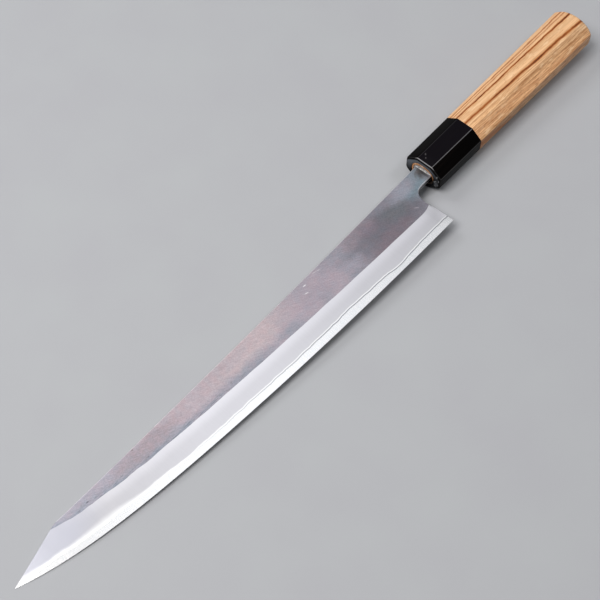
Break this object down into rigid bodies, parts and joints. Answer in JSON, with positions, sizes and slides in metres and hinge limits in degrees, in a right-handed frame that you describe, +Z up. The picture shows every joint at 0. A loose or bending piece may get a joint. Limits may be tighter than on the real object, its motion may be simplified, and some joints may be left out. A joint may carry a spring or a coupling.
{
  "type": "sujihiki knife",
  "caption": "Long slim slicing knife with a laminated double-bevel blade, dark forge finish above a bright bevel, black horn ferrule and eight-sided wooden handle.",
  "frame": {"origin": "middle of the grip's lower side facet, on which the handle lies", "axes": "+X along the handle's axis to the tip, +Y towards the cutting edge, +Z up out of the blade's left face"},
  "size_m": [0.4578, 0.0454, 0.0187],
  "materials": {
    "core_steel": "hard carbon steel, honed bright along the edge",
    "forged_cladding": "soft iron, mottled forge scale on the flat and a satin ground bevel",
    "horn": "polished black buffalo horn",
    "grip_wood": "pale open-grained wood, sanded and lightly oiled",
    "dowel_wood": "reddish wood, end grain at the mouth",
    "resin": "cast grey-white resin"
  },
  "bodies": {
    "root": {"core_steel": "core_steel", "left_cladding": "forged_cladding", "right_cladding": "forged_cladding", "ferrule": "horn", "grip": "grip_wood", "dowel": "dowel_wood", "mouth_seal": "resin"}
  },
  "joints": []
}
